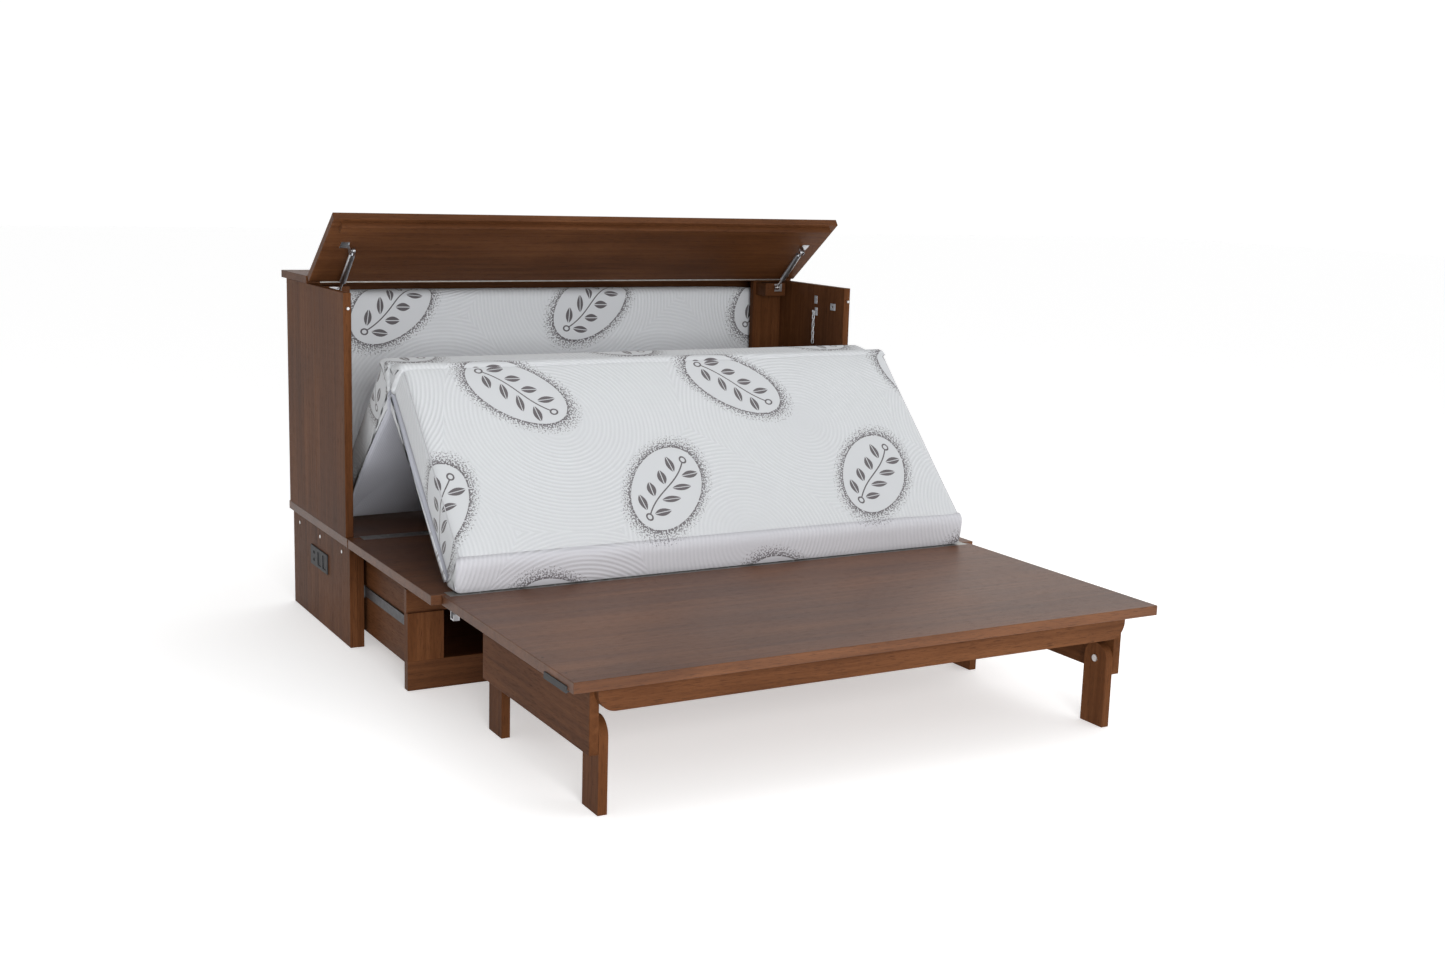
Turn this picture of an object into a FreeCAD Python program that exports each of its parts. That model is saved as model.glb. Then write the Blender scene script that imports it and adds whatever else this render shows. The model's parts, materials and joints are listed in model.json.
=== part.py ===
import FreeCAD, Part
import math
import os

# Chest bed, opened half way: an upper cabinet with a lid on two gas struts, a base with a pull-out
# support drawer, three platform boards joined by piano hinges, and a folding mattress in three parts.
# Own frame: +X to the right seen from the foot, +Y to the head, +Z up. Lengths in millimetres.
os.makedirs("parts", exist_ok=True)
V = FreeCAD.Vector

# ---- driving sizes ----
WIDTH = 1640.0
PANEL = 22.0
PLATFORM_TOP = 320.0
PLATFORM_T = 25.0
SIDE_TOP = 998.0
CABINET_DEPTH = 575.0
HEAD_HINGE_Y = -15.0
FOOT_HINGE_Y = -696.0
FOOT_LENGTH = 777.0
LID_OPEN = 36.0
MATTRESS_T = 110.0
FOLD_LENGTH = 620.0

# ---- insets and overhangs ----
HEAD_LEDGE = 11.0
STRIP_LEDGE = 57.0
FOOT_INSET = 26.0
MATTRESS_INSET = 58.0
LID_HINGE_SET = 216.0
LID_FRONT_SET = 37.0
TENT_FRONT_SET = 51.0
TENT_REAR_SET = 160.0
HEAD_SPARE = 28.0
HINGE_END = 40.0

# ---- clearances ----
GAP = 0.3
REST = 0.5
HINGE_GAP = 3.5

# ---- derived places ----
HALF = WIDTH / 2
SIDE_IN = HALF - PANEL
UNDER = PLATFORM_TOP - PLATFORM_T
HEAD_BACK = CABINET_DEPTH + HEAD_LEDGE
STRIP_BACK = CABINET_DEPTH + STRIP_LEDGE
FOOT_HALF = HALF - FOOT_INSET
FOOT_FRONT = FOOT_HINGE_Y - FOOT_LENGTH
LID_HINGE_Y = CABINET_DEPTH - LID_HINGE_SET
MATTRESS_HALF = HALF - MATTRESS_INSET
HEAD_LENGTH = SIDE_TOP - PLATFORM_TOP - HEAD_SPARE
HINGE_HALF = HALF - HINGE_END
FOOT_REAR = FOOT_HINGE_Y - HINGE_GAP
MIDDLE_FRONT = FOOT_HINGE_Y + HINGE_GAP
MIDDLE_REAR = HEAD_HINGE_Y - HINGE_GAP
HEAD_FRONT = HEAD_HINGE_Y + HINGE_GAP
# the row's origin is under the middle of the footprint
SHIFT = -(STRIP_BACK + FOOT_FRONT) / 2


def box(x0, x1, y0, y1, z0, z1):
    low = V(min(x0, x1), min(y0, y1), min(z0, z1))
    return Part.makeBox(abs(x1 - x0), abs(y1 - y0), abs(z1 - z0), low)


def rod(start, end, radius):
    step = V(*end) - V(*start)
    return Part.makeCylinder(radius, step.Length, V(*start), step)


def fuse(shapes):
    whole = shapes[0]
    for extra in shapes[1:]:
        whole = whole.fuse(extra)
    return whole.removeSplitter()


def soften(shape, radius, wanted):
    edges = [e for e in shape.Edges if wanted(e)]
    return shape.makeFillet(radius, edges)


def ease(shape, radius=1.5):
    return shape.makeFillet(radius, shape.Edges)


def mirrored(shape):
    return shape.mirror(V(0, 0, 0), V(1, 0, 0))


def save(name, shapes):
    if not isinstance(shapes, list):
        shapes = [shapes]
    placed = []
    for shape in shapes:
        copy = shape.copy()
        copy.translate(V(0, SHIFT, 0))
        placed.extend(copy.Solids)
    whole = placed[0] if len(placed) == 1 else Part.makeCompound(placed)
    whole.exportStep("parts/" + name + ".step")


def save_pair(name, shape):
    # shape is the right-hand piece
    save(name + "_right", shape)
    save(name + "_left", mirrored(shape))


# ---- upper cabinet: two side panels standing on the head platform ----
SEAM_SET = 294.0
SEAM_W = 1.2
SEAM_DEEP = 0.8
DOWEL_R = 4.0
DOWEL_OUT = 8.0
DOWEL_IN = 18.0
DOWEL_DOWN = 42.0
DOWEL_Z = SIDE_TOP - DOWEL_DOWN
seam_y = CABINET_DEPTH - SEAM_SET
dowel_x = HALF - PANEL / 2
side = ease(box(SIDE_IN, HALF, 0, CABINET_DEPTH, PLATFORM_TOP, SIDE_TOP))
seam_x = HALF - SEAM_DEEP
side = side.cut(box(seam_x, HALF + 1, seam_y - SEAM_W / 2, seam_y + SEAM_W / 2, PLATFORM_TOP, SIDE_TOP))
side = side.cut(rod((dowel_x, -1, DOWEL_Z), (dowel_x, DOWEL_IN, DOWEL_Z), DOWEL_R))
save_pair("cabinet_side", side)

# steel dowels in the front edges of the side panels locate the closed front
dowel = rod((dowel_x, -DOWEL_OUT, DOWEL_Z), (dowel_x, DOWEL_IN, DOWEL_Z), DOWEL_R)
save("locating_dowels", [dowel, mirrored(dowel)])

# back panel between the side panels
BACK_T = 12.0
back_front = CABINET_DEPTH - BACK_T
save("cabinet_back_panel", box(-SIDE_IN, SIDE_IN, back_front, CABINET_DEPTH, PLATFORM_TOP, SIDE_TOP))

# two stiles stand before the head part of the mattress and carry the fixed top strip
STILE_W = 106.0
STILE_T = 18.0
HEAD_LEAN_ROOM = 45.0
stile_back = back_front - MATTRESS_T - HEAD_LEAN_ROOM
stile_front = stile_back - STILE_T
stile = box(SIDE_IN - STILE_W, SIDE_IN, stile_front, stile_back, PLATFORM_TOP, SIDE_TOP)
save("rear_stiles", [stile, mirrored(stile)])

# blocks on the stiles carry the lower ends of the struts
BLOCK_W = 76.0
BLOCK_SET = 20.0
BLOCK_BEFORE_HINGE = 33.0
BLOCK_H = 42.0
BLOCK_DOWN = 6.0
block_x1 = SIDE_IN - BLOCK_SET
block_front = LID_HINGE_Y - BLOCK_BEFORE_HINGE
block_z1 = SIDE_TOP - BLOCK_DOWN
block = ease(box(block_x1 - BLOCK_W, block_x1, block_front, stile_front, block_z1 - BLOCK_H, block_z1))
save("strut_blocks", [block, mirrored(block)])

# fixed strip along the back of the top
STRIP_GAP = 1.7
STRIP_TOP = SIDE_TOP + PANEL
strip_front = LID_HINGE_Y + STRIP_GAP
strip = ease(box(-HALF, HALF, strip_front, STRIP_BACK, SIDE_TOP, STRIP_TOP))
save("top_rear_strip", strip)

# ---- piano hinges: a leaf each side, rolled knuckles turn about, one long pin ----
KNUCKLE_PITCH = 60.0
LEAF_T = 1.2
SCREW_R = 3.2
SCREW_PITCH = 100.0


def spaced(half_length, pitch):
    count = int(2 * half_length / pitch)
    start = -(count - 1) * pitch / 2
    return [start + i * pitch for i in range(count)]


def knuckles(half_length, y, z, outer, inner, odd):
    rolls = []
    width = KNUCKLE_PITCH / 2 - GAP
    for x in spaced(half_length, KNUCKLE_PITCH):
        left = x + (GAP / 2 if odd else GAP / 2 - KNUCKLE_PITCH / 2)
        ring = rod((left, y, z), (left + width, y, z), outer)
        rolls.append(ring.cut(rod((left - 1, y, z), (left + width + 1, y, z), inner)))
    return rolls


# the platform hinges lie sunk in the boards, so the mattress can pass over them
PIN_R = 1.2
KNUCKLE_R = 3.0
PIN_Z = PLATFORM_TOP - KNUCKLE_R
LEAF_W = 20.0
BORE_R = PIN_R + GAP


def platform_leaf(half_length, y, side_sign, odd):
    # the leaf's tongue reaches the knuckles only beside its own rolls
    leaf_edge = y + side_sign * HINGE_GAP
    far = leaf_edge + side_sign * LEAF_W
    plate = box(-half_length, half_length, leaf_edge, far, PLATFORM_TOP - LEAF_T, PLATFORM_TOP)
    pieces = [plate]
    width = KNUCKLE_PITCH / 2 - GAP
    for x in spaced(half_length, KNUCKLE_PITCH):
        left = x + (GAP / 2 if odd else GAP / 2 - KNUCKLE_PITCH / 2)
        tongue_y = y + side_sign * PIN_R
        pieces.append(box(left, left + width, tongue_y, leaf_edge, PLATFORM_TOP - LEAF_T, PLATFORM_TOP))
    pieces.extend(knuckles(half_length, y, PIN_Z, KNUCKLE_R, BORE_R, odd))
    whole = fuse(pieces)
    bores = rod((-half_length - 1, y, PIN_Z), (half_length + 1, y, PIN_Z), BORE_R)
    whole = whole.cut(bores)
    middle = y + side_sign * (HINGE_GAP + LEAF_W / 2)
    for x in spaced(half_length, SCREW_PITCH):
        whole = whole.cut(rod((x, middle, UNDER), (x, middle, PLATFORM_TOP + 1), SCREW_R))
    return whole


def platform_screws(half_length, y, side_sign):
    middle = y + side_sign * (HINGE_GAP + LEAF_W / 2)
    heads = []
    for x in spaced(half_length, SCREW_PITCH):
        start = (x, middle, PLATFORM_TOP - LEAF_T)
        heads.append(rod(start, (x, middle, PLATFORM_TOP - 0.1), SCREW_R))
    return heads


def rebate(half_length, y, side_sign):
    edge = y + side_sign * (HINGE_GAP - 1)
    far = y + side_sign * (HINGE_GAP + LEAF_W)
    return box(-half_length, half_length, edge, far, PLATFORM_TOP - LEAF_T, PLATFORM_TOP + 1)


save("head_hinge_rear_leaf", platform_leaf(HINGE_HALF, HEAD_HINGE_Y, 1, True))
save("head_hinge_front_leaf", platform_leaf(HINGE_HALF, HEAD_HINGE_Y, -1, False))
save("foot_hinge_rear_leaf", platform_leaf(HINGE_HALF, FOOT_HINGE_Y, 1, True))
save("foot_hinge_front_leaf", platform_leaf(HINGE_HALF, FOOT_HINGE_Y, -1, False))
pin_half = HINGE_HALF - KNUCKLE_PITCH / 4
for name, pin_y in (("head_hinge_pin", HEAD_HINGE_Y), ("foot_hinge_pin", FOOT_HINGE_Y)):
    save(name, rod((-pin_half, pin_y, PIN_Z), (pin_half, pin_y, PIN_Z), PIN_R))
fixed_screws = platform_screws(HINGE_HALF, HEAD_HINGE_Y, 1)
fixed_screws += platform_screws(HINGE_HALF, HEAD_HINGE_Y, -1)
fixed_screws += platform_screws(HINGE_HALF, FOOT_HINGE_Y, 1)
save("platform_hinge_screws", fixed_screws)
save("foot_hinge_screws", platform_screws(HINGE_HALF, FOOT_HINGE_Y, -1))

# ---- the three platform boards ----
head = box(-HALF, HALF, HEAD_FRONT, HEAD_BACK, UNDER, PLATFORM_TOP)
head = ease(head).cut(rebate(HINGE_HALF, HEAD_HINGE_Y, 1))
save("head_platform", head)
middle = box(-HALF, HALF, MIDDLE_FRONT, MIDDLE_REAR, UNDER, PLATFORM_TOP)
middle = ease(middle).cut(rebate(HINGE_HALF, HEAD_HINGE_Y, -1))
middle = middle.cut(rebate(HINGE_HALF, FOOT_HINGE_Y, 1))
save("middle_platform", middle)

PULL_SET = 31.0
PULL_LENGTH = 116.0
PULL_BELOW = 6.0
PULL_H = 15.0
PULL_FRONT = FOOT_FRONT + PULL_SET
PULL_REAR = PULL_FRONT + PULL_LENGTH
PULL_Z0 = UNDER - PULL_BELOW
PULL_Z1 = PULL_Z0 + PULL_H
PULL_T = 3.0
PULL_LIP = 14.0
PULL_LIP_T = 4.0
PULL_SCREW_R = 3.0
PULL_SCREW_SINK = 2.0
PULL_SCREW_DOWN = 0.2
PULL_SCREW_BEHIND = 46.0
PULL_SCREW_BEFORE = 38.0
pull_screw_x = FOOT_HALF - PULL_LIP
pull_screw_y = [PULL_REAR + PULL_SCREW_BEHIND, PULL_FRONT + PULL_SCREW_BEFORE]
foot = box(-FOOT_HALF, FOOT_HALF, FOOT_FRONT, FOOT_REAR, UNDER, PLATFORM_TOP)
foot = ease(foot).cut(rebate(HINGE_HALF, FOOT_HINGE_Y, -1))
for screw_y in pull_screw_y:
    for sign in (-1, 1):
        start = (sign * pull_screw_x, screw_y, PLATFORM_TOP - PULL_SCREW_SINK)
        foot = foot.cut(rod(start, (sign * pull_screw_x, screw_y, PLATFORM_TOP + 1), PULL_SCREW_R))
save("foot_platform", foot)

# ---- base under the head platform ----
BASE_INSET = 13.0
BASE_FRONT = 10.0
LINER_T = 18.0
base_out = HALF - BASE_INSET
base_in = base_out - PANEL
liner_in = base_in - LINER_T
save_pair("base_side", ease(box(base_in, base_out, BASE_FRONT, HEAD_BACK, 0, UNDER)))
liner = box(liner_in, base_in, BASE_FRONT, HEAD_BACK, 0, UNDER)
save("base_liners", [liner, mirrored(liner)])
BACK_RAIL_Z0 = 60.0
back_rail_front = HEAD_BACK - PANEL
save("base_back_rail", box(-liner_in, liner_in, back_rail_front, HEAD_BACK, BACK_RAIL_Z0, UNDER))
FRONT_RAIL_H = 20.0
FRONT_RAIL_T = 30.0
FRONT_RAIL_SET = 2.0
rail_front = BASE_FRONT + FRONT_RAIL_SET
front_rail = box(-liner_in, liner_in, rail_front, rail_front + FRONT_RAIL_T, UNDER - FRONT_RAIL_H, UNDER)
save("base_front_rail", front_rail)

# screw heads along each base side, driven into the platform's cleats
BASE_SCREW_R = 5.0
BASE_SCREW_HEAD = 1.2
BASE_SCREW_DOWN = 32.0
BASE_SCREW_REAR = 71.0
BASE_SCREW_MID = 288.0
BASE_SCREW_FRONT = 74.0
base_screw_y = [HEAD_BACK - BASE_SCREW_REAR, HEAD_BACK - BASE_SCREW_MID, BASE_FRONT + BASE_SCREW_FRONT]
base_screw_z = UNDER - BASE_SCREW_DOWN
screw_out = base_out + BASE_SCREW_HEAD
heads = []
for screw_y in base_screw_y:
    head_disc = rod((base_out, screw_y, base_screw_z), (screw_out, screw_y, base_screw_z), BASE_SCREW_R)
    heads.extend([head_disc, mirrored(head_disc)])
save("base_screws", heads)

# charging outlet on the left of the base: a black plate with two sockets and two USB ports
OUTLET_BEHIND = 366.0
OUTLET_LENGTH = 169.0
OUTLET_BELOW = 130.0
OUTLET_H = 58.0
OUTLET_T = 4.0
OUTLET_EDGE = 1.2
WELL_FLOOR = 1.5
SOCKET_PLACES = [30.0, 80.0]
SOCKET_HALF_W = 17.0
SOCKET_HALF_H = 20.0
PORT_PLACE = 133.0
PORT_HALF_W = 7.0
PORT_HALF_H = 4.0
PORT_APART = 22.0
outlet_y0 = HEAD_BACK - OUTLET_BEHIND
outlet_z0 = UNDER - OUTLET_BELOW
outlet_x = -base_out - OUTLET_T
plate = box(outlet_x, -base_out, outlet_y0, outlet_y0 + OUTLET_LENGTH, outlet_z0, outlet_z0 + OUTLET_H)
plate = ease(plate, OUTLET_EDGE)
outlet_mid = outlet_z0 + OUTLET_H / 2
well_x = -base_out - WELL_FLOOR


def well(y, z, half_w, half_h):
    return box(outlet_x - 1, well_x, y - half_w, y + half_w, z - half_h, z + half_h)


for socket_place in SOCKET_PLACES:
    plate = plate.cut(well(outlet_y0 + socket_place, outlet_mid, SOCKET_HALF_W, SOCKET_HALF_H))
for port_z in (outlet_mid - PORT_APART / 2, outlet_mid + PORT_APART / 2):
    plate = plate.cut(well(outlet_y0 + PORT_PLACE, port_z, PORT_HALF_W, PORT_HALF_H))
save("charging_outlet", plate)

# ---- lid, drawn closed and then opened about its hinge ----
LID_END_GAP = 2.0
LID_HALF = HALF - LID_END_GAP
LID_PIN_R = 1.2
LID_KNUCKLE_R = 3.2
LID_PIN_Z = STRIP_TOP + GAP + LID_KNUCKLE_R
LID_LIFT = 0.4
LID_TOP_GAP = 0.1
lid_axis = V(0, LID_HINGE_Y, LID_PIN_Z)


def opened(shape):
    copy = shape.copy()
    copy.rotate(lid_axis, V(-1, 0, 0), LID_OPEN)
    return copy


lid_rear = LID_HINGE_Y - STRIP_GAP
lid_front = LID_FRONT_SET
lid_under = SIDE_TOP + LID_LIFT
lid_top = STRIP_TOP - LID_TOP_GAP
lid = ease(box(-LID_HALF, LID_HALF, lid_front, lid_rear, lid_under, lid_top))
save("lid_panel", opened(lid))

# a rail under the lid drops between the side panels
RAIL_BACK_SET = 15.0
RAIL_W = 25.0
RAIL_T = 18.0
RAIL_END_GAP = 3.0
lid_rail_front = lid_front + RAIL_BACK_SET
lid_rail_half = SIDE_IN - RAIL_END_GAP
rail_y = (lid_rail_front, lid_rail_front + RAIL_W)
lid_rail = box(-lid_rail_half, lid_rail_half, *rail_y, lid_under - RAIL_T, lid_under)
save("lid_locating_rail", opened(lid_rail))

# edge-mounted piano hinge between strip and lid
LID_LEAF_UP = 2.0
LID_LEAF_DOWN = 0.2
LID_LEAF_BOTTOM = SIDE_TOP + LID_LEAF_UP
LID_LEAF_IN = 0.4


def lid_leaf(side_sign, odd):
    near = LID_HINGE_Y + side_sign * LID_LEAF_IN
    far = LID_HINGE_Y + side_sign * (LID_LEAF_IN + LEAF_T)
    top = STRIP_TOP - LID_LEAF_DOWN
    pieces = [box(-HINGE_HALF, HINGE_HALF, near, far, LID_LEAF_BOTTOM, top)]
    width = KNUCKLE_PITCH / 2 - GAP
    for x in spaced(HINGE_HALF, KNUCKLE_PITCH):
        left = x + (GAP / 2 if odd else GAP / 2 - KNUCKLE_PITCH / 2)
        pieces.append(box(left, left + width, near, far, top, LID_PIN_Z - LID_PIN_R))
    pieces.extend(knuckles(HINGE_HALF, LID_HINGE_Y, LID_PIN_Z, LID_KNUCKLE_R, BORE_R, odd))
    whole = fuse(pieces)
    start = (-HINGE_HALF - 1, LID_HINGE_Y, LID_PIN_Z)
    return whole.cut(rod(start, (HINGE_HALF + 1, LID_HINGE_Y, LID_PIN_Z), BORE_R))


save("lid_hinge_fixed_leaf", lid_leaf(1, True))
save("lid_hinge_moving_leaf", opened(lid_leaf(-1, False)))
lid_pin_half = HINGE_HALF - KNUCKLE_PITCH / 4
lid_pin = rod((-lid_pin_half, LID_HINGE_Y, LID_PIN_Z), (lid_pin_half, LID_HINGE_Y, LID_PIN_Z), LID_PIN_R)
save("lid_hinge_pin", lid_pin)

# ---- gas struts: rod on the cabinet, cylinder towards the lid ----
STRUT_IN = 61.0
STRUT_LOW_BEFORE = 48.0
STRUT_LOW_DOWN = 19.0
STRUT_TOP_BEHIND = 127.0
STRUT_TOP_UNDER = 19.56
STRUT_X = SIDE_IN - STRUT_IN
STRUT_LOW_Y = LID_HINGE_Y - STRUT_LOW_BEFORE
STRUT_LOW_Z = SIDE_TOP - STRUT_LOW_DOWN
STRUT_R = 9.0
STRUT_ROD_R = 3.5
ROD_SHOWN = 44.0
ROD_PAST_MIDDLE = 4.8
EYE_R = 7.0
EYE_HALF = 4.0
STUD_R = 3.0
EAR_T = 2.0
BARREL_CAP = 6.0
NECK_LENGTH = 13.0
closed_top = V(STRUT_X, lid_front + STRUT_TOP_BEHIND, lid_under - STRUT_TOP_UNDER)
lid_turn = FreeCAD.Placement(V(0, 0, 0), FreeCAD.Rotation(V(-1, 0, 0), LID_OPEN), lid_axis)
low = V(STRUT_X, STRUT_LOW_Y, STRUT_LOW_Z)
top = lid_turn.multVec(closed_top)
along = (top - low).normalize()
strut_length = (top - low).Length
barrel_end = strut_length - NECK_LENGTH
rod_length = (ROD_SHOWN + barrel_end) / 2 + ROD_PAST_MIDDLE


def strut_point(distance):
    place = low + along * distance
    return (place.x, place.y, place.z)


eye_out = STRUT_X + EYE_HALF
eye = rod((STRUT_X - EYE_HALF, STRUT_LOW_Y, STRUT_LOW_Z), (eye_out, STRUT_LOW_Y, STRUT_LOW_Z), EYE_R)
piston_rod = fuse([rod(strut_point(EYE_R - 2), strut_point(rod_length), STRUT_ROD_R), eye])
eye_bore = rod((STRUT_X - 9, STRUT_LOW_Y, STRUT_LOW_Z), (STRUT_X + 9, STRUT_LOW_Y, STRUT_LOW_Z), STUD_R + GAP)
save_pair("strut_rod", piston_rod.cut(eye_bore))

barrel = rod(strut_point(ROD_SHOWN), strut_point(barrel_end), STRUT_R)
barrel = barrel.cut(rod(strut_point(ROD_SHOWN - 1), strut_point(barrel_end - BARREL_CAP), STRUT_ROD_R + GAP))
neck = rod(strut_point(barrel_end - 1), strut_point(strut_length - EYE_R + 2), STRUT_ROD_R)
top_eye = rod((STRUT_X - EYE_HALF, top.y, top.z), (STRUT_X + EYE_HALF, top.y, top.z), EYE_R)
save_pair("strut_cylinder", fuse([barrel, neck, top_eye]))

# lower bracket: plate on the block's front, an ear beside the eye, a stud through the eye
EAR_HALF = 6.0
PLATE_LOW_IN = 6.0
PLATE_LOW_OUT = 22.0
PLATE_LOW_DOWN = 14.0
PLATE_LOW_UP = 11.0
STUD_OUT = 2.0
ear_x = STRUT_X + EYE_HALF + GAP
plate_x0 = ear_x - PLATE_LOW_IN
plate_x1 = ear_x + PLATE_LOW_OUT
plate_z0 = STRUT_LOW_Z - PLATE_LOW_DOWN
plate_z1 = STRUT_LOW_Z + PLATE_LOW_UP
plate_low = box(plate_x0, plate_x1, block_front - EAR_T, block_front, plate_z0, plate_z1)
ear_z0 = STRUT_LOW_Z - EAR_HALF
ear_z1 = STRUT_LOW_Z + EAR_HALF
ear_low = box(ear_x, ear_x + EAR_T, STRUT_LOW_Y - EAR_HALF, block_front - 1, ear_z0, ear_z1)
stud_x = STRUT_X - EYE_HALF - STUD_OUT
stud_low = rod((stud_x, STRUT_LOW_Y, STRUT_LOW_Z), (ear_x + 1, STRUT_LOW_Y, STRUT_LOW_Z), STUD_R)
bracket_low = fuse([plate_low, ear_low, stud_low])
save("strut_lower_brackets", [bracket_low, mirrored(bracket_low)])

# upper bracket, drawn on the closed lid: the pin stops short of the cylinder's eye
PLATE_UP_W = 24.0
PLATE_UP_HALF = 14.0
EAR_UP_HALF = 8.0
pin_y = closed_top.y
pin_z = closed_top.z
ear_up_x = STRUT_X + STRUT_R + REST
plate_up_y = (pin_y - PLATE_UP_HALF, pin_y + PLATE_UP_HALF)
plate_up = box(ear_up_x, ear_up_x + PLATE_UP_W, *plate_up_y, lid_under - EAR_T, lid_under)
ear_up_y = (pin_y - EAR_UP_HALF, pin_y + EAR_UP_HALF)
ear_up = box(ear_up_x, ear_up_x + EAR_T, *ear_up_y, pin_z - EAR_UP_HALF, lid_under - 1)
stud_up = rod((STRUT_X + EYE_HALF + 1, pin_y, pin_z), (ear_up_x + 1, pin_y, pin_z), STUD_R)
bracket_up = opened(fuse([plate_up, ear_up, stud_up]))
save("strut_upper_brackets", [bracket_up, mirrored(bracket_up)])

# ---- foot platform's skirts, apron, pulls and folding legs ----
SKIRT_INSET = 62.0
SKIRT_H = 159.0
SKIRT_FRONT_SET = 54.5
SKIRT_REAR_SET = 111.5
SKIRT_OUT = FOOT_HALF - SKIRT_INSET
SKIRT_BOTTOM = UNDER - SKIRT_H
SKIRT_FRONT = FOOT_FRONT + SKIRT_FRONT_SET
SKIRT_REAR = FOOT_REAR - SKIRT_REAR_SET
skirt_in = SKIRT_OUT - PANEL
skirt = ease(box(skirt_in, SKIRT_OUT, SKIRT_FRONT, SKIRT_REAR, SKIRT_BOTTOM, UNDER))
save("foot_skirts", [skirt, mirrored(skirt)])

APRON_INSET = 72.0
APRON_T = 20.0
APRON_H = 60.0
APRON_R = 42.0
apron_half = FOOT_HALF - APRON_INSET
apron_front = SKIRT_FRONT - APRON_T
apron_bottom = UNDER - APRON_H
apron = box(-apron_half, apron_half, apron_front, SKIRT_FRONT, apron_bottom, UNDER)


def lower_corner(edge):
    span = edge.BoundBox
    return span.XLength < 1 and span.ZLength < 1 and span.ZMax < apron_bottom + 1


apron = soften(apron, APRON_R, lower_corner)
save("foot_apron", apron)

pull_x = FOOT_HALF
pull_face = box(pull_x, pull_x + PULL_T, PULL_FRONT, PULL_REAR, PULL_Z0, PULL_Z1)
pull_lip = box(pull_x - PULL_LIP, pull_x + 1, PULL_FRONT, PULL_REAR, UNDER - PULL_LIP_T, UNDER)
pull = fuse([pull_face, pull_lip])
pulls = [pull, mirrored(pull)]
for screw_y in pull_screw_y:
    start = (pull_screw_x, screw_y, PLATFORM_TOP - PULL_SCREW_SINK)
    disc = rod(start, (pull_screw_x, screw_y, PLATFORM_TOP - PULL_SCREW_DOWN), PULL_SCREW_R)
    pulls.extend([disc, mirrored(disc)])
save("finger_pulls", pulls)

LEG_W = 80.0
LEG_T = 22.0
LEG_PIVOT_UP = 36.0
LEG_PIVOT_Z = SKIRT_BOTTOM + LEG_PIVOT_UP
LEG_BOTTOM = 0.3
REAR_LEG_LAP = 14.0
BOLT_R = 5.0
BOLT_HEAD_R = 9.0
BOLT_HEAD_T = 3.0
leg_out = skirt_in - GAP
leg_in = leg_out - LEG_T
front_leg_y = SKIRT_FRONT + LEG_W / 2
rear_leg_y = SKIRT_REAR - LEG_W / 2 + REAR_LEG_LAP


def leg(y):
    low_part = box(leg_in, leg_out, y - LEG_W / 2, y + LEG_W / 2, LEG_BOTTOM, LEG_PIVOT_Z)
    crown = rod((leg_in, y, LEG_PIVOT_Z), (leg_out, y, LEG_PIVOT_Z), LEG_W / 2)
    bore = rod((leg_in - 1, y, LEG_PIVOT_Z), (leg_out + 1, y, LEG_PIVOT_Z), BOLT_R + GAP)
    return fuse([low_part, crown]).cut(bore)


save_pair("leg_front", leg(front_leg_y))
save_pair("leg_rear", leg(rear_leg_y))
bolts = []
for bolt_y in (front_leg_y, rear_leg_y):
    shank = rod((leg_in - GAP, bolt_y, LEG_PIVOT_Z), (skirt_in, bolt_y, LEG_PIVOT_Z), BOLT_R)
    head_start = leg_in - GAP - BOLT_HEAD_T
    bolt_head = rod((head_start, bolt_y, LEG_PIVOT_Z), (leg_in - GAP, bolt_y, LEG_PIVOT_Z), BOLT_HEAD_R)
    bolt = fuse([shank, bolt_head])
    bolts.extend([bolt, mirrored(bolt)])
save("leg_pivot_bolts", bolts)

# ---- pull-out drawer that also props the middle platform ----
DRAWER_FRONT = -437.0
DRAWER_FRONT_T = 27.0
DRAWER_FRONT_INSET = 28.0
DRAWER_RAIL_H = 80.0
DRAWER_RAIL_Z0 = 1.0
RUNNER_ROOM = 10.0
DRAWER_SIDE_T = 18.0
DRAWER_SIDE_Z0 = 41.0
DRAWER_SIDE_DOWN = 45.0
DRAWER_BACK = 130.0
DRAWER_STILE_W = 98.0
DRAWER_STILE_DOWN = 87.0
BOARD_DOWN = 25.0
BOARD_T = 18.0
front_half = HALF - DRAWER_FRONT_INSET
front_inner = DRAWER_FRONT + DRAWER_FRONT_T
side_out = liner_in - RUNNER_ROOM
side_in = side_out - DRAWER_SIDE_T
side_z1 = UNDER - DRAWER_SIDE_DOWN
stile_top = UNDER - DRAWER_STILE_DOWN
board_top = UNDER - BOARD_DOWN
front_bar = box(-front_half, front_half, DRAWER_FRONT, front_inner, DRAWER_RAIL_Z0, DRAWER_RAIL_H)
save("drawer_front_rail", ease(front_bar))
stile_x0 = front_half - DRAWER_STILE_W
drawer_stile = box(stile_x0, front_half, DRAWER_FRONT, front_inner, DRAWER_RAIL_H, stile_top)
save("drawer_front_stiles", [drawer_stile, mirrored(drawer_stile)])
board = box(-front_half, front_half, front_inner - BOARD_T, front_inner, stile_top, board_top)
save("drawer_top_board", board)
drawer_side = box(side_in, side_out, front_inner, DRAWER_BACK, DRAWER_SIDE_Z0, side_z1)
save("drawer_sides", [drawer_side, mirrored(drawer_side)])
FLOOR_T = 12.0
FLOOR_UP = 8.0
floor_z = DRAWER_SIDE_Z0 + FLOOR_UP
back_inner = DRAWER_BACK - DRAWER_SIDE_T
save("drawer_bottom", box(-side_in, side_in, front_inner, back_inner, floor_z, floor_z + FLOOR_T))
drawer_back = box(-side_in, side_in, back_inner, DRAWER_BACK, DRAWER_SIDE_Z0, side_z1)
save("drawer_back", drawer_back)

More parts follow.
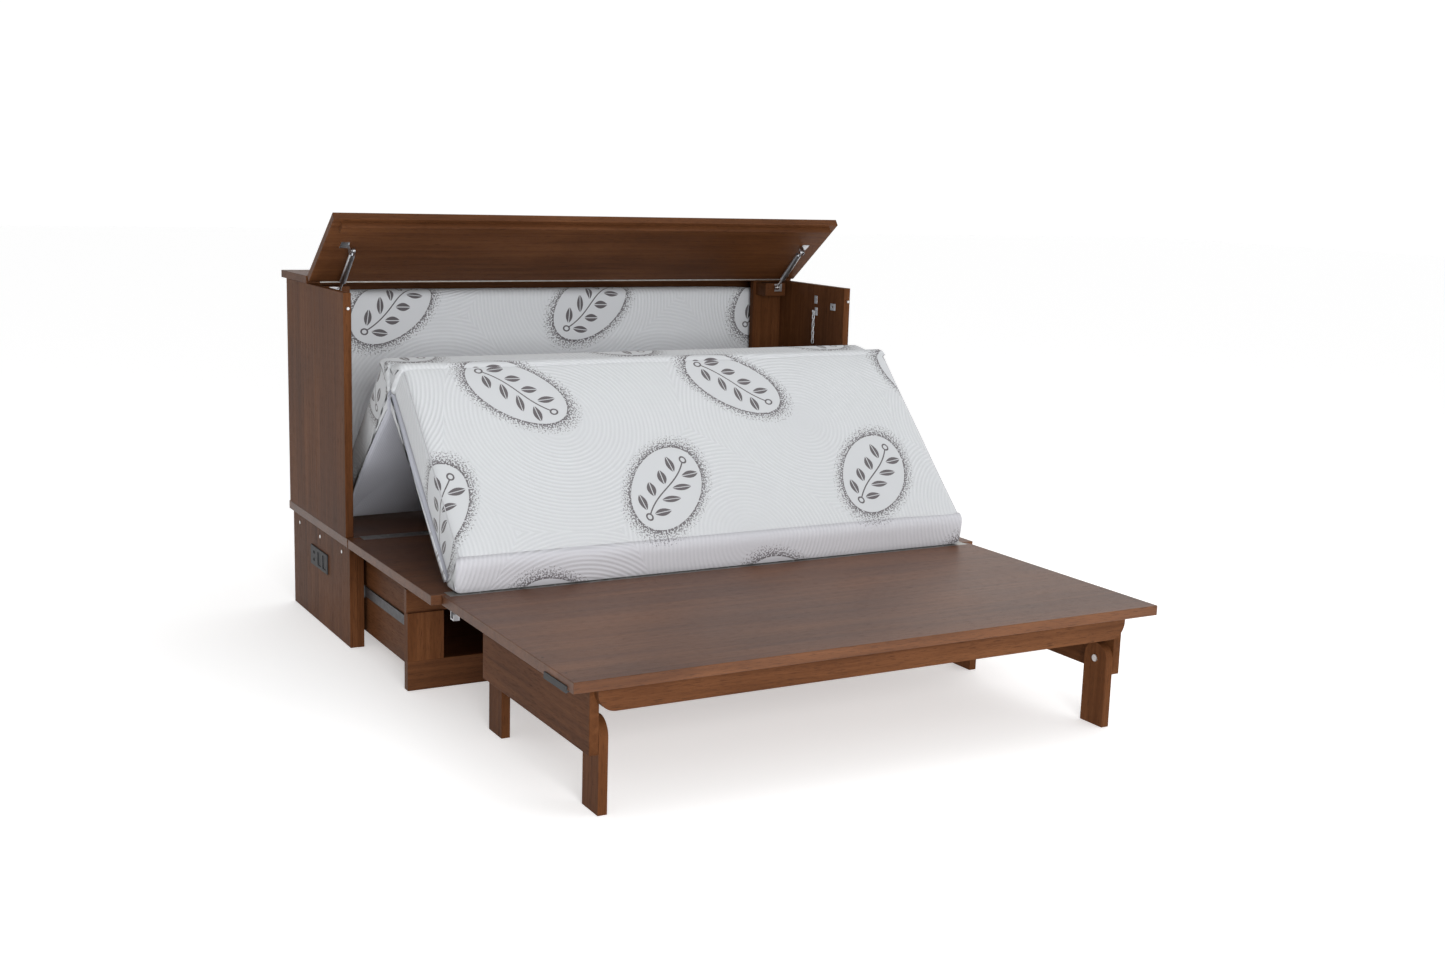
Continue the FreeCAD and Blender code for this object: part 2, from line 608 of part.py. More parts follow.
# side-mounted runners fill the gap between the drawer sides and the liners
RUNNER_DOWN = 108.0
RUNNER_H = 35.0
RUNNER_END = 4.0
RUNNER_START = 10.0
runner_z0 = side_z1 - RUNNER_DOWN
runner_mid = (liner_in + side_out) / 2
runner_y = (BASE_FRONT + RUNNER_END, back_rail_front - RUNNER_END)
outer_runner = box(runner_mid + GAP / 2, liner_in, *runner_y, runner_z0, runner_z0 + RUNNER_H)
save("drawer_runners_fixed", [outer_runner, mirrored(outer_runner)])
RUNNER_INSET = 4.0
inner_z0 = runner_z0 + RUNNER_INSET
inner_z1 = runner_z0 + RUNNER_H - RUNNER_INSET
runner_start = front_inner + RUNNER_START
inner_runner = box(side_out, runner_mid - GAP / 2, runner_start, DRAWER_BACK, inner_z0, inner_z1)
save("drawer_runners_moving", [inner_runner, mirrored(inner_runner)])

# flat steel hooks hang under the front of the middle platform
HOOK_INSET = 70.0
HOOK_W = 16.0
HOOK_T = 4.0
HOOK_BEHIND = 32.0
HOOK_FOOT = 34.0
HOOK_X = HALF - HOOK_INSET
HOOK_Y = FOOT_HINGE_Y + HOOK_BEHIND
HOOK_DROP = 48.0
HOOK_REACH = 18.0
HOOK_TIP = 16.0
hook_x0 = HOOK_X - HOOK_W / 2
hook_x1 = HOOK_X + HOOK_W / 2
hook_low = UNDER - HOOK_DROP
tip_y = HOOK_Y - HOOK_REACH
hook = fuse([
    box(hook_x0, hook_x1, HOOK_Y, HOOK_Y + HOOK_FOOT, UNDER - HOOK_T, UNDER),
    box(hook_x0, hook_x1, HOOK_Y, HOOK_Y + HOOK_T, hook_low, UNDER),
    box(hook_x0, hook_x1, tip_y, HOOK_Y + HOOK_T, hook_low, hook_low + HOOK_T),
    box(hook_x0, hook_x1, tip_y, tip_y + HOOK_T, hook_low, hook_low + HOOK_TIP),
])
save("support_hooks", [hook, mirrored(hook)])

# ---- safety chain and catch plate inside the right side panel ----
PLATE_T = 2.0
PLATE_HALF_W = 8.0
PLATE_HALF_H = 13.0
PLATE_EDGE = 0.8
PLATE_SCREW_R = 2.6
PLATE_SCREW_UP = 7.0
CHAIN_OFF_WALL = 11.0
CHAIN_Y = 160.0
CHAIN_DOWN = 86.0
SPARE_PLATE_Y = 164.0
SPARE_PLATE_DOWN = 48.0
CHAIN_X = SIDE_IN - CHAIN_OFF_WALL
CHAIN_TOP_Z = SIDE_TOP - CHAIN_DOWN
WIRE_R = 1.6
LINK_STEP = 13.0
LINK_COUNT = 8
LINK_ARC = 3.4
LINK_STRAIGHT = 9.6


def chain_plate(y, z):
    face = SIDE_IN - PLATE_T
    slab = box(face, SIDE_IN, y - PLATE_HALF_W, y + PLATE_HALF_W, z - PLATE_HALF_H, z + PLATE_HALF_H)
    pieces = [ease(slab, PLATE_EDGE)]
    for screw_z in (z + PLATE_SCREW_UP, z - PLATE_SCREW_UP):
        pieces.append(rod((face - 1, y, screw_z), (face, y, screw_z), PLATE_SCREW_R))
    return fuse(pieces)


def link_loop(center, turned):
    # a stadium of round wire, standing in the Y-Z plane or turned a quarter about Z
    half = LINK_STRAIGHT / 2
    straights = []
    for sign in (-1, 1):
        start = V(0, sign * LINK_ARC, -half)
        straights.append(Part.makeCylinder(WIRE_R, LINK_STRAIGHT, start, V(0, 0, 1)))
    upper = Part.makeTorus(LINK_ARC, WIRE_R, V(0, 0, half), V(1, 0, 0))
    upper = upper.common(Part.makeBox(20, 20, 20, V(-10, -10, half)))
    lower = Part.makeTorus(LINK_ARC, WIRE_R, V(0, 0, -half), V(1, 0, 0))
    lower = lower.common(Part.makeBox(20, 20, 20, V(-10, -10, -half - 20)))
    link = fuse(straights + [upper, lower])
    if turned:
        link.rotate(V(0, 0, 0), V(0, 0, 1), 90)
    link.translate(V(*center))
    return link


STAPLE_R = 1.5
STAPLE_REACH = 4.0
STAPLE_UP = 5.0
STAPLE_LAP = 1.4
staple_back = SIDE_IN - PLATE_T + REST
staple_x = CHAIN_X - STAPLE_REACH
staple_low = CHAIN_TOP_Z - STAPLE_LAP
staple = fuse([
    rod((staple_x, CHAIN_Y, CHAIN_TOP_Z), (staple_back, CHAIN_Y, CHAIN_TOP_Z), STAPLE_R),
    rod((staple_x, CHAIN_Y, staple_low), (staple_x, CHAIN_Y, CHAIN_TOP_Z + STAPLE_UP), STAPLE_R),
])
chain_plates = [chain_plate(SPARE_PLATE_Y, SIDE_TOP - SPARE_PLATE_DOWN)]
chain_plates.append(fuse([chain_plate(CHAIN_Y, CHAIN_TOP_Z), staple]))
save("chain_plates", chain_plates)
links = []
first_z = CHAIN_TOP_Z - LINK_STRAIGHT / 2 - LINK_ARC + WIRE_R + STAPLE_R + GAP
for index in range(LINK_COUNT):
    links.append(link_loop((CHAIN_X, CHAIN_Y, first_z - index * LINK_STEP), index % 2 == 1))
save("safety_chain", links)
CATCH_Y = 62.0
CATCH_DOWN = 64.0
CATCH_HALF_W = 14.0
CATCH_HALF_H = 11.0
CATCH_HOLE_R = 4.0
catch_z = SIDE_TOP - CATCH_DOWN
catch_x = SIDE_IN - PLATE_T
catch_y = (CATCH_Y - CATCH_HALF_W, CATCH_Y + CATCH_HALF_W)
catch = ease(box(catch_x, SIDE_IN, *catch_y, catch_z - CATCH_HALF_H, catch_z + CATCH_HALF_H), PLATE_EDGE)
catch = catch.cut(rod((catch_x - 1, CATCH_Y, catch_z), (SIDE_IN + 1, CATCH_Y, catch_z), CATCH_HOLE_R))
save("catch_plate", catch)

# ---- mattress in three parts ----
SOFT_R = 24.0
PAD_CLEAR = 2.0
bed_z = PLATFORM_TOP + REST
tent_rear_y = stile_front - TENT_REAR_SET
tent_front_y = FOOT_HINGE_Y + TENT_FRONT_SET
half_base = (tent_rear_y - tent_front_y) / 2
TENT = math.degrees(math.acos(half_base / FOLD_LENGTH))


def cushion(length, thickness):
    # drawn lying flat from Y=0 towards -Y; the foam's long edges are rounded
    slab = box(-MATTRESS_HALF, MATTRESS_HALF, -length, 0, 0, thickness)
    return soften(slab, SOFT_R, lambda e: e.BoundBox.ZMin > thickness - 1)


# the head part leans against the back panel behind the stiles
HEAD_LEAN = 2.6
head_pad = cushion(HEAD_LENGTH, MATTRESS_T)
head_pad.rotate(V(0, 0, 0), V(1, 0, 0), -90 - HEAD_LEAN)
head_front_y = stile_back + PAD_CLEAR
box_low = head_pad.BoundBox
head_pad.translate(V(0, head_front_y - box_low.YMin, bed_z - box_low.ZMin))
save("mattress_head", head_pad)

# the middle and foot parts stand as a tent, hinged along their undersides
middle_pad = cushion(FOLD_LENGTH - GAP / 2, MATTRESS_T)
middle_pad.rotate(V(0, 0, 0), V(1, 0, 0), -TENT)
middle_pad.translate(V(0, tent_rear_y, bed_z))
save("mattress_middle", middle_pad)
apex_y = tent_rear_y - half_base
apex_z = bed_z + FOLD_LENGTH * math.sin(math.radians(TENT))
foot_pad = cushion(FOLD_LENGTH - GAP / 2, MATTRESS_T)
foot_pad.translate(V(0, -GAP / 2, 0))
foot_pad.rotate(V(0, 0, 0), V(1, 0, 0), TENT)
foot_pad.translate(V(0, apex_y, apex_z))
save("mattress_foot", foot_pad)
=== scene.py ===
import math
import json
import bpy
import bmesh
from mathutils import Vector, Matrix, noise


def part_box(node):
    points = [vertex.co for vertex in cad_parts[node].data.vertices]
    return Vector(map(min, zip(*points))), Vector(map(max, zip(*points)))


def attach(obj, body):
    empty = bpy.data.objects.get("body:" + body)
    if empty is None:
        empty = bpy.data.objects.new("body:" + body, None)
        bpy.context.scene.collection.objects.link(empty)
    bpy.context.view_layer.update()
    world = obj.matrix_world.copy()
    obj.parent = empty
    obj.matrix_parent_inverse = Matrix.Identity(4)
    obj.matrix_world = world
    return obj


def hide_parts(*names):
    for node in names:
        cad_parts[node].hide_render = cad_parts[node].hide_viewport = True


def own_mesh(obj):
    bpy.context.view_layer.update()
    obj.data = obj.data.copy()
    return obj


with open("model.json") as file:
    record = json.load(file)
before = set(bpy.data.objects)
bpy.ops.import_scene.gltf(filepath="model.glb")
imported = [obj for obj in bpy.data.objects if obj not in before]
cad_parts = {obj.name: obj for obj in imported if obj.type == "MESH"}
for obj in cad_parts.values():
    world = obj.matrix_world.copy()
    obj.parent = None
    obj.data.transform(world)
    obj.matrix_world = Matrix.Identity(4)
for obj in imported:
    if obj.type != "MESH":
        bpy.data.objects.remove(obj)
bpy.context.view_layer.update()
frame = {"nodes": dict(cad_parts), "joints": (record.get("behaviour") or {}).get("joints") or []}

# ---- Studio: a pale floor, a white surround, one main softbox from the front left, two weak ones ----
# The camera stands off the left corner of the foot end, a little above the cabinet, looking slightly down.
CAMERA_LENS = 41.81
CAMERA_TURN, CAMERA_TILT, CAMERA_ROLL = -29.57, 10.41, 1.71
CAMERA_X, CAMERA_BEFORE_CABINET, CAMERA_HEIGHT = -2.1578, 4.4632, 1.34605
FLOOR_REACH = 30
FLOOR_GLOW = 0.42
BRIGHT_SIDE = (0.84, 0.53, 0.05)
SURROUND_DIM, SURROUND_FULL = 0.36, 1.02
SURROUND_TURNS_FULL_AT = 0.55


def into_scene(made):
    bpy.context.scene.collection.objects.link(made)


cabinet_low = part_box("cabinet_side_left")[0]
camera_data = bpy.data.cameras.new("studio_camera")
camera_data.sensor_width = 36.0
camera_data.lens = CAMERA_LENS
camera_data.clip_end = 60.0
camera = bpy.data.objects.new("studio_camera", camera_data)
into_scene(camera)
turn, tilt, roll = (math.radians(angle) for angle in (CAMERA_TURN, CAMERA_TILT, CAMERA_ROLL))
ahead = Vector((math.sin(-turn) * math.cos(tilt), math.cos(turn) * math.cos(tilt), -math.sin(tilt)))
right = ahead.cross(Vector((0, 0, 1))).normalized()
upward = right.cross(ahead)
rolled_right = right * math.cos(roll) + upward * math.sin(roll)
rolled_up = upward * math.cos(roll) - right * math.sin(roll)
stand = Vector((CAMERA_X, cabinet_low.y - CAMERA_BEFORE_CABINET, CAMERA_HEIGHT))
camera.matrix_world = Matrix((
    (rolled_right.x, rolled_up.x, -ahead.x, stand.x),
    (rolled_right.y, rolled_up.y, -ahead.y, stand.y),
    (rolled_right.z, rolled_up.z, -ahead.z, stand.z),
    (0, 0, 0, 1)))
bpy.context.scene.camera = camera

floor_mesh = bpy.data.meshes.new("studio_floor")
floor_corners = [(x * FLOOR_REACH, y * FLOOR_REACH, 0) for x, y in ((-1, -1), (1, -1), (1, 1), (-1, 1))]
floor_mesh.from_pydata(floor_corners, [], [(0, 1, 2, 3)])
studio_floor = bpy.data.objects.new("studio_floor", floor_mesh)
into_scene(studio_floor)
floor_paint = bpy.data.materials.new("floor_paint")
floor_paint.use_nodes = True
floor_shader = floor_paint.node_tree.nodes["Principled BSDF"]
floor_shader.inputs["Base Color"].default_value = (0.93, 0.93, 0.93, 1)
floor_shader.inputs["Roughness"].default_value = 0.9
floor_shader.inputs["Emission Color"].default_value = (1, 1, 1, 1)
floor_shader.inputs["Emission Strength"].default_value = FLOOR_GLOW
floor_mesh.materials.append(floor_paint)
bpy.context.scene.view_settings.view_transform = "Standard"

# the surround is white behind the bed and greyer towards the left and the front
surround = bpy.data.worlds.new("white_surround")
surround.use_nodes = True
sky_tree = surround.node_tree
sky = sky_tree.nodes["Background"]
heading = sky_tree.nodes.new("ShaderNodeTexCoord")
facing = sky_tree.nodes.new("ShaderNodeVectorMath")
facing.operation = "DOT_PRODUCT"
facing.inputs[1].default_value = BRIGHT_SIDE
sky_tree.links.new(heading.outputs["Generated"], facing.inputs[0])
shade_ramp = sky_tree.nodes.new("ShaderNodeMapRange")
shade_ramp.inputs["From Min"].default_value = 0.0
shade_ramp.inputs["From Max"].default_value = SURROUND_TURNS_FULL_AT
shade_ramp.inputs["To Min"].default_value = SURROUND_DIM
shade_ramp.inputs["To Max"].default_value = SURROUND_FULL
sky_tree.links.new(facing.outputs["Value"], shade_ramp.inputs["Value"])
sky_tree.links.new(shade_ramp.outputs["Result"], sky.inputs["Strength"])
sky.inputs["Color"].default_value = (1.0, 1.0, 1.0, 1)
bpy.context.scene.world = surround


def soft_light(name, place, aim, size, watts):
    lamp_data = bpy.data.lights.new(name, "AREA")
    lamp_data.shape = "RECTANGLE"
    lamp_data.size = size[0]
    lamp_data.size_y = size[1]
    lamp_data.energy = watts
    lamp = bpy.data.objects.new(name, lamp_data)
    into_scene(lamp)
    lamp.location = place
    lamp.rotation_euler = (Vector(aim) - Vector(place)).to_track_quat("-Z", "Y").to_euler()


soft_light("key_softbox", (2.6, -3.6, 2.2), (0, -0.2, 0.5), (2.4, 1.8), 16)
soft_light("front_softbox", (-1.5, -5.0, 1.6), (0, 0.4, 0.6), (2.0, 1.5), 165)
soft_light("top_softbox", (0.6, -0.9, 4.4), (0.1, -0.4, 0.3), (3.4, 2.6), 26)

# ---- Stained boards: plywood and solid edging, walnut-brown stain under a satin clear coat ----
# The stain gathers in the open grain, so fine dark lines run along each board. The three platforms
# carry a thicker, glossier lacquer than the rest.
STAIN_DARK = (0.066, 0.0235, 0.0090)
STAIN_MIDDLE = (0.106, 0.0395, 0.0150)
STAIN_LIGHT = (0.165, 0.0650, 0.0260)
PORE_STAIN = (0.030, 0.012, 0.0065)


class Field:
    """A number or colour over a surface; arithmetic on it adds the Math nodes it needs."""

    def __init__(self, finish, socket):
        self.finish = finish
        self.socket = socket

    def worked(self, operation, *others):
        sockets = dict(enumerate((self,) + others))
        return self.finish.node("ShaderNodeMath", {"operation": operation}, sockets)

    def __add__(self, other):
        return self.worked("ADD", other)

    __radd__ = __add__

    def __sub__(self, other):
        return self.worked("SUBTRACT", other)

    def __rsub__(self, other):
        return self.finish.node("ShaderNodeMath", {"operation": "SUBTRACT"}, {0: other, 1: self})

    def __mul__(self, other):
        return self.worked("MULTIPLY", other)

    __rmul__ = __mul__

    def __truediv__(self, other):
        return self.worked("DIVIDE", other)

    def __lt__(self, other):
        return self.worked("LESS_THAN", other)

    def __gt__(self, other):
        return self.worked("GREATER_THAN", other)

    def __abs__(self):
        return self.worked("ABSOLUTE")

    def __pow__(self, other):
        return self.worked("POWER", other)


class Finish:
    """One material of the bed, built node by node."""

    def __init__(self, name):
        self.material = bpy.data.materials.new(name)
        self.material.use_nodes = True
        self.tree = self.material.node_tree
        self.shader = self.tree.nodes["Principled BSDF"]

    def node(self, kind, settings=None, inputs=None, output=0):
        made = self.tree.nodes.new(kind)
        for key, value in (settings or {}).items():
            if key == "stops":
                while len(made.color_ramp.elements) < len(value):
                    made.color_ramp.elements.new(0.5)
                for element, (place, colour) in zip(made.color_ramp.elements, value):
                    element.position = place
                    element.color = (*colour, 1)
            else:
                setattr(made, key, value)
        for key, value in (inputs or {}).items():
            if isinstance(value, Field):
                self.tree.links.new(value.socket, made.inputs[key])
            else:
                made.inputs[key].default_value = value
        return Field(self, made.outputs[output])

    def mix(self, first, second, share):
        return self.node("ShaderNodeMix", {"data_type": "RGBA"}, {0: share, 6: first, 7: second}, 2)

    def feed(self, **inputs):
        for key, value in inputs.items():
            socket = self.shader.inputs[key.replace("_", " ")]
            if isinstance(value, Field):
                self.tree.links.new(value.socket, socket)
            else:
                socket.default_value = value

    def bump(self, height, strength, distance):
        return self.node("ShaderNodeBump", None, {
            "Height": height, "Strength": strength, "Distance": distance})


def stained_board(name, grain, tone, sheen):
    """grain is the axis the boards' fibres run along: 0 across the bed, 1 along it, 2 upright."""
    board = Finish(name)

    def toned(colour):
        return tuple(part * tone for part in colour)

    place = board.node("ShaderNodeTexCoord", None, None, "Object")
    split = [board.node("ShaderNodeSeparateXYZ", None, {0: place}, i) for i in range(3)]
    along = split[grain]
    across, through = [split[i] for i in range(3) if i != grain]

    def fibres(long_scale, cross_scale, detail, rough=0.6):
        stretched = board.node("ShaderNodeCombineXYZ", None, {
            0: along * long_scale, 1: across * cross_scale, 2: through * cross_scale})
        return board.node("ShaderNodeTexNoise", None, {
            "Vector": stretched, "Scale": 1.0, "Detail": detail, "Roughness": rough})

    streaks = fibres(2.2, 70.0, 5.0, 0.62)
    figure = fibres(0.9, 9.0, 3.0)
    pores = fibres(30.0, 900.0, 2.0)
    cloud = board.node("ShaderNodeTexNoise", None, {"Vector": place, "Scale": 2.4, "Detail": 2.0})
    shade = streaks * 0.40 + figure * 0.34 + cloud * 0.32
    wood = board.node("ShaderNodeValToRGB", {"stops": [
        (0.36, toned(STAIN_DARK)), (0.50, toned(STAIN_MIDDLE)), (0.66, toned(STAIN_LIGHT))]}, {0: shade})
    open_grain = (pores < 0.40) * 0.55
    wood = board.mix(wood, (*toned(PORE_STAIN), 1), open_grain)
    gloss = 0.34 + cloud * 0.12 + open_grain * 0.25
    relief = streaks * 0.3 - open_grain
    board.feed(Base_Color=wood, Roughness=gloss, Normal=board.bump(relief, 0.25, 0.0004))
    board.feed(Coat_Weight=sheen * 0.25, Coat_Roughness=0.24, IOR=1.45)
    board.feed(Specular_IOR_Level=sheen)
    return board.material


wood_tops = stained_board("walnut_lacquered_tops", 0, 0.95, 0.26)
wood_across = stained_board("walnut_stain_across", 0, 0.86, 0.07)
wood_along = stained_board("walnut_stain_along", 1, 0.86, 0.035)
wood_upright = stained_board("walnut_stain_upright", 2, 0.95, 0.03)
boards_of = {
    wood_tops: ["head_platform", "middle_platform", "foot_platform"],
    wood_across: ["foot_apron", "lid_panel", "lid_locating_rail", "top_rear_strip", "drawer_front_rail",
                  "drawer_top_board", "drawer_back", "drawer_bottom", "base_back_rail",
                  "base_front_rail", "strut_blocks", "cabinet_back_panel"],
    wood_along: ["foot_skirts", "drawer_sides"],
    wood_upright: ["cabinet_side_left", "cabinet_side_right", "rear_stiles", "base_side_left",
                   "base_side_right", "base_liners", "drawer_front_stiles", "leg_front_left",
                   "leg_front_right", "leg_rear_left", "leg_rear_right"],
}


def coat(node_names, material):
    """Gives the named nodes one material all over."""
    for node_name in node_names:
        solid = frame["nodes"][node_name]
        for solid_slot in solid.material_slots:
            solid_slot.material = material
        if not solid.material_slots:
            solid.data.materials.append(material)


for material, board_names in boards_of.items():
    coat(board_names, material)

# ---- Steel: piano hinges, gas struts, chain, hooks, runners, screws ----
# The hinges are nickelled steel gone dull in patches, the drawer runners are painted dark grey as shade
# for the drawer's dark side gap, the small fittings are bright zinc, and the rods and screws are polished.


def plated(name, colour, dull, rough):
    steel = Finish(name)
    place = steel.node("ShaderNodeTexCoord", None, None, "Object")
    smear = steel.node("ShaderNodeTexNoise", None, {"Vector": place, "Scale": 55.0, "Detail": 4.0})
    speck = steel.node("ShaderNodeTexNoise", None, {"Vector": place, "Scale": 900.0, "Detail": 2.0})
    tint = steel.mix((*colour, 1), (*dull, 1), smear)
    steel.feed(Base_Color=tint, Metallic=1.0, Roughness=rough + smear * 0.15 + speck * 0.08)
    steel.feed(Normal=steel.bump(speck, 0.12, 0.0002))
    return steel.material


hinge_steel = plated("hinge_steel", (0.50, 0.49, 0.46), (0.20, 0.195, 0.185), 0.26)
# the runners' dark grey is painted shade standing for the dark side gap of the drawer
runner_steel_painted_shade = plated("runner_steel_painted_shade", (0.16, 0.16, 0.165), (0.08, 0.08, 0.085), 0.40)
zinc_steel = plated("zinc_steel", (0.66, 0.67, 0.69), (0.42, 0.43, 0.45), 0.24)
bright_steel = plated("bright_steel", (0.86, 0.86, 0.86), (0.60, 0.60, 0.60), 0.16)
coat(["head_hinge_rear_leaf", "head_hinge_front_leaf", "head_hinge_pin", "foot_hinge_rear_leaf",
      "foot_hinge_front_leaf", "foot_hinge_pin", "lid_hinge_fixed_leaf", "lid_hinge_moving_leaf",
      "lid_hinge_pin"], hinge_steel)
coat(["strut_rod_left", "strut_rod_right", "platform_hinge_screws", "foot_hinge_screws", "base_screws",
      "leg_pivot_bolts", "locating_dowels"], bright_steel)
coat(["strut_cylinder_left", "strut_cylinder_right", "strut_lower_brackets", "strut_upper_brackets",
      "support_hooks", "chain_plates", "safety_chain", "catch_plate"], zinc_steel)
coat(["drawer_runners_fixed", "drawer_runners_moving"], runner_steel_painted_shade)

# ---- Black plastic: the charging outlet and the finger pulls ----
# Moulded ABS with a fine spark-eroded texture.
black_plastic = Finish("black_moulding")
mould_place = black_plastic.node("ShaderNodeTexCoord", None, None, "Object")
mould_grain = black_plastic.node("ShaderNodeTexNoise", None, {
    "Vector": mould_place, "Scale": 1400.0, "Detail": 2.0})
black_plastic.feed(
    Base_Color=black_plastic.mix((0.012, 0.012, 0.013, 1), (0.03, 0.03, 0.032, 1), mould_grain),
    Roughness=0.52 + mould_grain * 0.2,
    Normal=black_plastic.bump(mould_grain, 0.2, 0.0002))
coat(["charging_outlet", "finger_pulls"], black_plastic.material)

# ---- Mattress covers: white jacquard knit with embossed ripples and printed ovals ----
# A sprig stands in each oval inside a speckled halo; the underside is plain grey cloth.
RIPPLE_TILE = 0.56
RIPPLE_STEP = 0.0120
OVAL_PITCH = (0.660, 0.686)
OVAL_LONG = 0.150
OVAL_SHORT = 0.094
OVAL_LEANS = (38.0, -53.0)
HALO_REACH = 0.30
RIM_HALF = 0.018
STROKE = 0.0024
SPRIG_HALF = 0.108
SPRIG_BOW, SPRIG_WAVE = 0.012, 20.0
LEAF_STEP = 0.054
LEAF_OUT = 0.030
LEAF_HALF_LONG, LEAF_HALF_WIDE = 0.027, 0.0115
LEAF_MIDRIB = 0.0012
BUD_AT, BUD_RADIUS = 0.116, 0.009
# painted shade and light of the embossed ripples: darker cloth colour in their hollows, lighter on their
# crests
KNIT_SHADED_HOLLOW = (0.49, 0.504, 0.522)
KNIT_LIT_CREST = (0.605, 0.622, 0.64)
INK = (0.055, 0.042, 0.048, 1)


def knit_cover(name, first_oval, second_oval, tint=(1.0, 1.0, 1.0)):
    cover = Finish(name)
    laid = cover.node("ShaderNodeUVMap", {"uv_map": "cloth"})
    u = cover.node("ShaderNodeSeparateXYZ", None, {0: laid}, 0)
    v = cover.node("ShaderNodeSeparateXYZ", None, {0: laid}, 1)
    rings = cover.node("ShaderNodeTexVoronoi", {"voronoi_dimensions": "2D"}, {
        "Vector": laid, "Scale": 1 / RIPPLE_TILE, "Randomness": 0.75})
    ripple = (rings * (2 * math.pi * RIPPLE_TILE / RIPPLE_STEP)).worked("SINE") * 0.5 + 0.5
    fade = cover.node("ShaderNodeTexNoise", None, {"Vector": laid, "Scale": 5.0, "Detail": 1.0})
    speckle = cover.node("ShaderNodeTexNoise", {"noise_dimensions": "2D"}, {
        "Vector": laid, "Scale": 210.0, "Detail": 1.0})
    loops = cover.node("ShaderNodeTexNoise", None, {"Vector": laid, "Scale": 900.0, "Detail": 2.0})
    ink = 0.0
    calm = 0.0
    for (centre_u, centre_v), lean in zip((first_oval, second_oval), OVAL_LEANS):
        du = ((u - centre_u) / OVAL_PITCH[0] + 0.5).worked("FRACT") - 0.5
        dv = ((v - centre_v) / OVAL_PITCH[1] + 0.5).worked("FRACT") - 0.5
        du, dv = du * OVAL_PITCH[0], dv * OVAL_PITCH[1]
        co, si = math.cos(math.radians(lean)), math.sin(math.radians(lean))
        p = du * co + dv * si
        q = dv * co - du * si
        reach = ((p / OVAL_LONG) ** 2.0 + (q / OVAL_SHORT) ** 2.0).worked("SQRT")
        # halo of specks, thick at the rim and thinning outwards
        outside = (reach > 1.0) * (1.0 - ((reach - 1.0) / HALO_REACH).worked("MINIMUM", 1.0))
        halo = (speckle < outside * 0.25 + 0.33) * (outside > 0.02) * (0.40 + outside * 0.45)
        rim = (abs(reach - 1.0) < RIM_HALF) * (speckle < 0.62) * 0.85
        # sprig: a bowed stem with paired filled leaves, each parted by its midrib, and a bud at each end
        bow = q - (p * SPRIG_WAVE).worked("SINE") * SPRIG_BOW
        stem = (abs(bow) < STROKE * 0.8) * (abs(p) < SPRIG_HALF)
        step = ((p / LEAF_STEP).worked("FRACT") - 0.5) * LEAF_STEP
        wing = abs(bow) - LEAF_OUT
        leaf_long = (step + wing) * 0.7071
        leaf_wide = abs(wing - step) * 0.7071
        half_width = (1.0 - (leaf_long / LEAF_HALF_LONG) ** 2.0) * LEAF_HALF_WIDE
        blade = (leaf_wide < half_width) * (abs(leaf_long) < LEAF_HALF_LONG) * (leaf_wide > LEAF_MIDRIB)
        leaves = blade * (abs(p) < SPRIG_HALF)
        bud = ((abs(p) - BUD_AT) ** 2.0 + bow ** 2.0).worked("SQRT") - BUD_RADIUS
        drawn = stem.worked("MAXIMUM", leaves).worked("MAXIMUM", abs(bud) < STROKE)
        inked = halo.worked("MAXIMUM", rim).worked("MAXIMUM", drawn * 0.9)
        ink = inked if isinstance(ink, float) else ink.worked("MAXIMUM", inked)
        inner = reach < 1.0
        calm = inner if isinstance(calm, float) else calm.worked("MAXIMUM", inner)
    relief = ripple * (1.0 - calm) * (fade * 0.9 + 0.2) * (rings * 4.0).worked("MINIMUM", 1.0)
    # the ripple hollows are painted darker and the crests lighter as painted shade and painted light of
    # the embossing; the tint makes the head's copy brighter as painted light and the toe's copy darker as
    # painted shade
    shaded_hollow = [shade * part for shade, part in zip(KNIT_SHADED_HOLLOW, tint)]
    lit_crest = [shade * part for shade, part in zip(KNIT_LIT_CREST, tint)]
    cloth = cover.mix((*shaded_hollow, 1), (*lit_crest, 1), relief * 0.6 + 0.4)
    cloth = cover.mix(cloth, INK, ink)
    cover.feed(Base_Color=cloth, Roughness=0.86 - relief * 0.06)
    cover.feed(Normal=cover.bump(relief + loops * 0.12, 0.7, 0.0020))
    cover.feed(Sheen_Weight=0.25, Sheen_Roughness=0.5)
    return cover.material


def plain_cloth(name):
    cloth = Finish(name)
    laid = cloth.node("ShaderNodeUVMap", {"uv_map": "cloth"})
    ribs = cloth.node("ShaderNodeTexWave", {"wave_type": "BANDS", "bands_direction": "X"}, {
        "Vector": laid, "Scale": 60.0, "Distortion": 0.6, "Detail": 2.0})
    drift = cloth.node("ShaderNodeTexNoise", None, {"Vector": laid, "Scale": 3.0, "Detail": 3.0})
    cloth.feed(
        Base_Color=cloth.mix((0.36, 0.37, 0.42, 1), (0.47, 0.48, 0.53, 1), drift * 0.7 + ribs * 0.3),
        Roughness=0.88,
        Normal=cloth.bump(ribs, 0.3, 0.0008))
    cloth.feed(Sheen_Weight=0.2)
    return cloth.material


underside_cloth = plain_cloth("underside_cloth")

# ---- Foam pads: three foam slabs, each in its own stretched cover ----
# A pad is a slab with rounded edges whose faces crown a little; its cover is drawn tight in a short
# cloth run. The printed cover goes over the top and down all sides, the plain cloth lies underneath.
PAD_CELL = 0.0155
PAD_LAYERS = 7
PAD_EDGE = 0.017
PAD_GAP = 0.002
CROWN = 0.006
DRIFT = 0.0022
CLOTH_FRAMES = 20
CLOTH_PRESSURE = 3.0
CLOTH_STIFFNESS = 30
CLOTH_BENDING = 2.0
CLOTH_STEPS = 6
CLEARANCE = 0.0004


